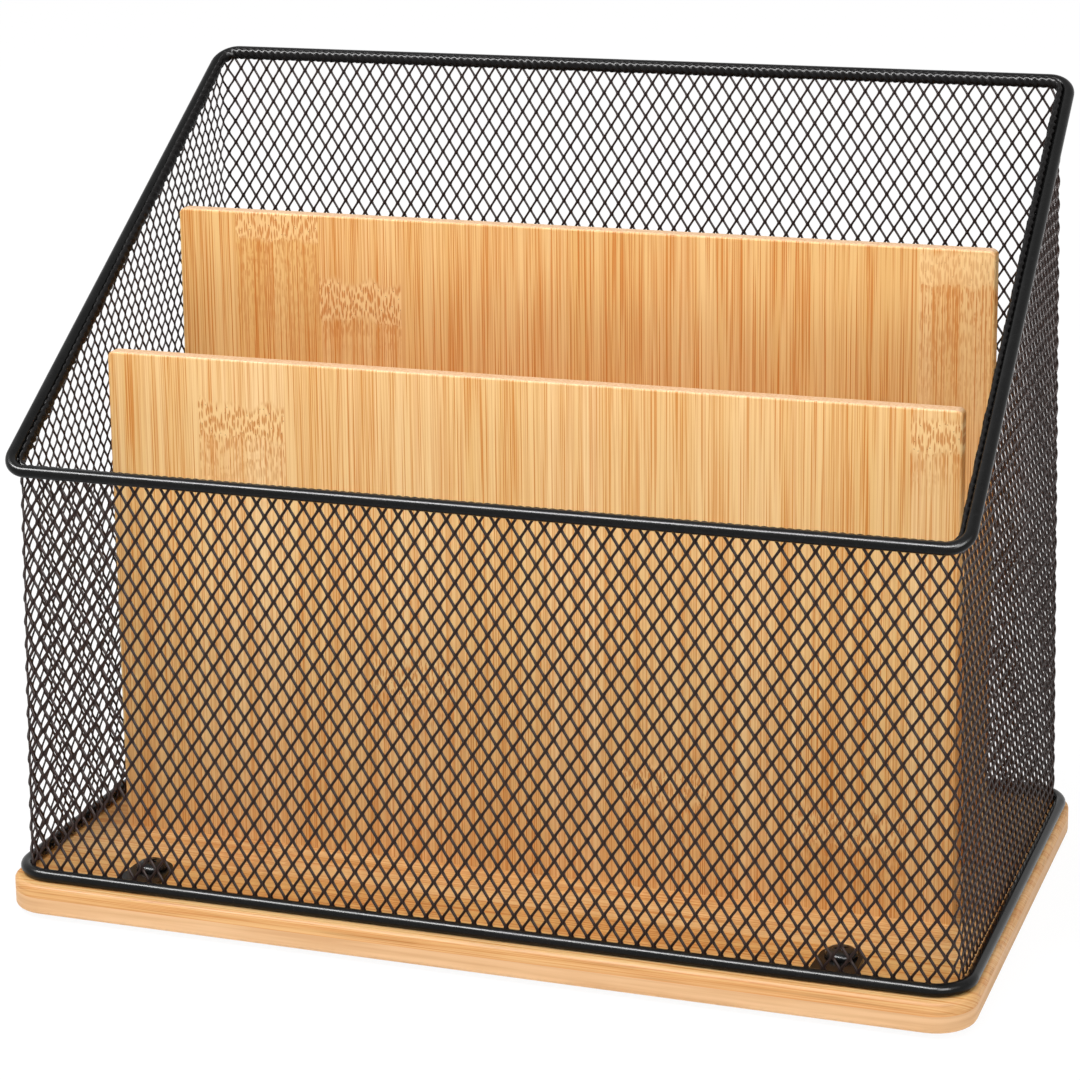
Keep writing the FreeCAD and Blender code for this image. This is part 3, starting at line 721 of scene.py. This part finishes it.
def make_divider(which, material):
    low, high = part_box(f"{which}_divider")
    outline = rounded_outline((low.x, low.z), (high.x, high.z), DIVIDER_CORNER)
    divider = eased_slab(f"{which}_divider_bamboo", outline, low.y, high.y, DIVIDER_EASING,
                         lambda x, y, level: (x, low.y + high.y - level, y), material)
    return settle(divider, "bamboo", f"{which}_divider")


# ---------------------------------------------------------------- screws

LATHE_STEPS = 40
CROWN_STEPS = 8
TIP_RADIUS = 1.0 * MM
TIP_TALL = 1.5 * MM
SHANK_RADIUS = 1.75 * MM
HEAD_RADIUS = 5.1 * MM
HEAD_CHAMFER = 0.12 * MM
HEAD_RIM = 0.55 * MM
SEAT_SHARE = 0.97
CROWN_INSET = 0.62
CROWN_RISE = 0.94
TOP_SHARE = 0.2
TOP_POINT = 0.02 * MM
FIRST_TURN = 25
TURN_STEP = 31
RECESS_REACH = 2.6 * MM
RECESS_HALF_WIDTH = 0.5 * MM
RECESS_DEPTH = 1.7 * MM
RECESS_OVERRUN = 0.4 * MM
RECESS_FLOOR = (0.45, 0.6)


def lathe(name, profile, material):
    """A turned shape about the Z axis from (radius, level) pairs, closed at both ends."""
    points, faces = [(0, 0, profile[0][1])], []
    for radius, level in profile:
        for step in range(LATHE_STEPS):
            angle = 2 * math.pi * step / LATHE_STEPS
            points.append((radius * math.cos(angle), radius * math.sin(angle), level))
    points.append((0, 0, profile[-1][1]))
    for step in range(LATHE_STEPS):
        following = (step + 1) % LATHE_STEPS
        faces.append((0, 1 + following, 1 + step))
        for ring in range(len(profile) - 1):
            low = 1 + ring * LATHE_STEPS
            high = low + LATHE_STEPS
            faces.append((low + step, low + following, high + following, high + step))
        top = 1 + (len(profile) - 1) * LATHE_STEPS
        faces.append((len(points) - 1, top + step, top + following))
    return new_piece(name, points, faces, material)


def cross_cutter(top):
    """Two crossed wedges that cut a cross recess down from a level."""
    shape = bmesh.new()
    corners = ((1, 1), (-1, 1), (-1, -1), (1, -1))
    for turn in (0, math.pi / 2):
        rings = []
        for reach, wide, level in (
                (RECESS_REACH * RECESS_FLOOR[0], RECESS_HALF_WIDTH * RECESS_FLOOR[1], top - RECESS_DEPTH),
                (RECESS_REACH, RECESS_HALF_WIDTH, top + RECESS_OVERRUN)):
            outline = [(side * reach, end * wide) for side, end in corners]
            rings.append([shape.verts.new((x * math.cos(turn) - y * math.sin(turn),
                                           x * math.sin(turn) + y * math.cos(turn), level))
                          for x, y in outline])
        shape.faces.new(reversed(rings[0]))
        shape.faces.new(rings[1])
        for index in range(4):
            following = (index + 1) % 4
            shape.faces.new((rings[0][index], rings[0][following], rings[1][following], rings[1][index]))
    mesh = bpy.data.meshes.new("recess")
    shape.to_mesh(mesh)
    shape.free()
    return put_in_scene("recess", mesh)


def apply_cut(piece, cutter):
    cut = piece.modifiers.new("cut", "BOOLEAN")
    cut.object, cut.operation, cut.solver, cut.use_self = cutter, "DIFFERENCE", "EXACT", True
    bpy.context.view_layer.update()
    result = bpy.data.meshes.new_from_object(piece.evaluated_get(bpy.context.evaluated_depsgraph_get()))
    piece.modifiers.clear()
    piece.data = result
    bpy.data.objects.remove(cutter)


def screw_profile(low, seat, high):
    """Half of a pan-head screw's outline, from its tip at low over its seat on the lug to its crown at high."""
    rim = seat + HEAD_RIM
    profile = [(TIP_RADIUS, low), (SHANK_RADIUS, low + TIP_TALL), (SHANK_RADIUS, seat),
               (HEAD_RADIUS * SEAT_SHARE, seat), (HEAD_RADIUS, seat + HEAD_CHAMFER), (HEAD_RADIUS, rim)]
    for step in range(1, CROWN_STEPS + 1):
        angle = math.pi / 2 * step / CROWN_STEPS
        profile.append((HEAD_RADIUS * (1 - CROWN_INSET * (1 - math.cos(angle))),
                        rim + (high - rim) * math.sin(angle) * CROWN_RISE))
    return profile + [(HEAD_RADIUS * TOP_SHARE, high - TOP_POINT), (TOP_POINT, high)]


def make_screws(material):
    low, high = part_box("basket_screws")
    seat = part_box("lug_front_left")[1].z
    across, along = high.x - HEAD_RADIUS, high.y - HEAD_RADIUS
    places = [(side * across, end * along) for side in (-1, 1) for end in (-1, 1)]
    for number, (x, y) in enumerate(places, start=1):
        screw = lathe(f"basket_screw_{number}", screw_profile(low.z, seat, high.z), material)
        apply_cut(screw, cross_cutter(high.z))
        turn = Matrix.Rotation(math.radians(FIRST_TURN + TURN_STEP * number), 4, "Z")
        screw.data.transform(Matrix.Translation((x, y, 0)) @ turn)
        settle(screw, "black_screw", "basket_screws")


# ---------------------------------------------------------------- studio

WHITE = (1, 1, 1, 1)

# The camera: its place in millimetres, how far it is turned to the left, looks down and is rolled, in degrees,
# its lens and its sensor in millimetres, and its shift, a share of the sensor's width.
CAMERA_PLACE = (322.3, -937.5, 406.73)
CAMERA_TURN = 19.152
CAMERA_DOWN = 13.053
CAMERA_ROLL = -0.626
CAMERA_LENS = 104.22
CAMERA_SENSOR = 36.0
CAMERA_SHIFT = -0.1667
CAMERA_CLIP = (0.05, 20.0)

# The floor lies a hair below the feet. It is a matt white that glows for the rays that see the background.
FLOOR_LEVEL = -0.05 * MM
FLOOR_REACH = 6
FLOOR_TONE = 0.9
FLOOR_ROUGHNESS = 0.9
FLOOR_GLOW = 1.04
FLOOR_SHARE = 0.9
WORLD_LEVEL = 0.6

# Each lamp: its name, its place, the point it aims at, its power, its width and height, and whether it makes
# highlights alone.
LAMPS = (("key", (-0.5, -0.95, 1.75), (0, -0.05, 0.1), 26.0, (1.0, 0.8), False),
         ("fill", (1.6, -0.7, 1.0), (0, 0, 0.12), 7.0, (0.9, 0.9), False),
         ("strip", (-0.35, -0.88, 1.34), (0, -0.1, 0.1), 195.0, (2.4, 0.34), True),
         ("side", (1.0, -1.05, 0.8), (0, -0.1, 0.1), 45.0, (0.7, 0.7), True))


def make_camera():
    data = bpy.data.cameras.new("camera")
    data.lens = CAMERA_LENS
    data.sensor_width = CAMERA_SENSOR
    data.shift_y = CAMERA_SHIFT
    data.clip_start, data.clip_end = CAMERA_CLIP
    turn = (Matrix.Rotation(math.radians(CAMERA_TURN), 4, "Z")
            @ Matrix.Rotation(math.radians(90 - CAMERA_DOWN), 4, "X")
            @ Matrix.Rotation(math.radians(CAMERA_ROLL), 4, "Z"))
    camera = put_in_scene("camera", data)
    camera.matrix_world = Matrix.Translation(Vector(CAMERA_PLACE) * MM) @ turn
    bpy.context.scene.camera = camera


def background_rays(tree):
    """1 for the rays that show the background: straight from the camera, mirrored or passing through."""
    rays = add(tree, "LightPath").outputs
    seen = math_node(tree, "MAXIMUM", rays["Is Camera Ray"], rays["Is Glossy Ray"])
    return math_node(tree, "MAXIMUM", seen, rays["Is Transmission Ray"])


def blend_shaders(tree, factor, first, second, output):
    """Mixes two shader nodes into the surface of the output node that is named."""
    blend = tree.nodes.new("ShaderNodeMixShader")
    for value, socket in zip((factor, first.outputs[0], second.outputs[0]), blend.inputs):
        join(tree, value, socket)
    tree.links.new(blend.outputs[0], tree.nodes[output].inputs["Surface"])


def make_floor():
    """A pale matt floor that shows as white and keeps a light shadow of the object."""
    material, tree, shader = node_material("floor_white", (FLOOR_TONE,) * 3, FLOOR_ROUGHNESS)
    glow = add(tree, "Emission", Color=WHITE, Strength=FLOOR_GLOW)
    factor = product(tree, background_rays(tree), FLOOR_SHARE)
    blend_shaders(tree, factor, shader, glow, "Material Output")
    corners = ((-1, -1), (1, -1), (1, 1), (-1, 1))
    points = [(side * FLOOR_REACH, end * FLOOR_REACH, FLOOR_LEVEL) for side, end in corners]
    floor = new_piece("floor", points, [(0, 1, 2, 3)], material, smooth_faces=False)


def make_lamp(name, place, aim, power, extent, only_gloss):
    data = bpy.data.lights.new(name, "AREA")
    data.energy = power
    data.shape = "RECTANGLE"
    data.size, data.size_y = extent
    lamp = put_in_scene(name, data)
    away = Vector(aim) - Vector(place)
    lamp.matrix_world = Matrix.Translation(place) @ away.to_track_quat("-Z", "Y").to_matrix().to_4x4()
    lamp.visible_diffuse = not only_gloss


def make_world():
    """A plain soft light that shows as white."""
    world = bpy.data.worlds.new("studio")
    bpy.context.scene.world = world
    world.use_nodes = True
    tree = world.node_tree
    plain = tree.nodes["Background"]
    plain.inputs["Color"].default_value = WHITE
    plain.inputs["Strength"].default_value = WORLD_LEVEL
    white = add(tree, "Background", Color=WHITE, Strength=1.0)
    blend_shaders(tree, background_rays(tree), plain, white, "World Output")


def dress(node, material):
    """Gives a CAD node that stays in view its material."""
    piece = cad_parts[node]
    piece.data.materials.clear()
    piece.data.materials.append(material)


# ---------------------------------------------------------------- the sorter

CORNERS = ("front_left", "front_right", "back_left", "back_right")

make_camera()
make_world()
make_floor()
for lamp in LAMPS:
    make_lamp(*lamp)

rod_finish = black_finish("black_powder_coat", srgb(11, 11, 11), 0.22, 0.13)
strip = Strip(Basket())
make_expanded_metal(strip, black_finish("black_mesh_coat", srgb(45, 32, 29), 0.34, 0.12))
make_hem(strip, black_finish("black_hem_coat", srgb(14, 12, 12), 0.27, 0.11))
for node in ("base_ring", "top_rim", *(f"lug_{corner}" for corner in CORNERS)):
    dress(node, rod_finish)
make_screws(black_finish("black_screw_finish", srgb(16, 16, 17), 0.26, 0.2))
make_board(board_bamboo("bamboo_board"))
make_divider("front", divider_bamboo("bamboo_front_divider", FRONT_STRIPS, FRONT_JOINTS))
make_divider("rear", divider_bamboo("bamboo_rear_divider", REAR_STRIPS, REAR_JOINTS))
rubber = black_finish("foot_rubber_skin", srgb(60, 60, 60), 0.7, 0.3)
for corner in CORNERS:
    dress(f"foot_{corner}", rubber)

bpy.context.scene.view_settings.view_transform = "Standard"
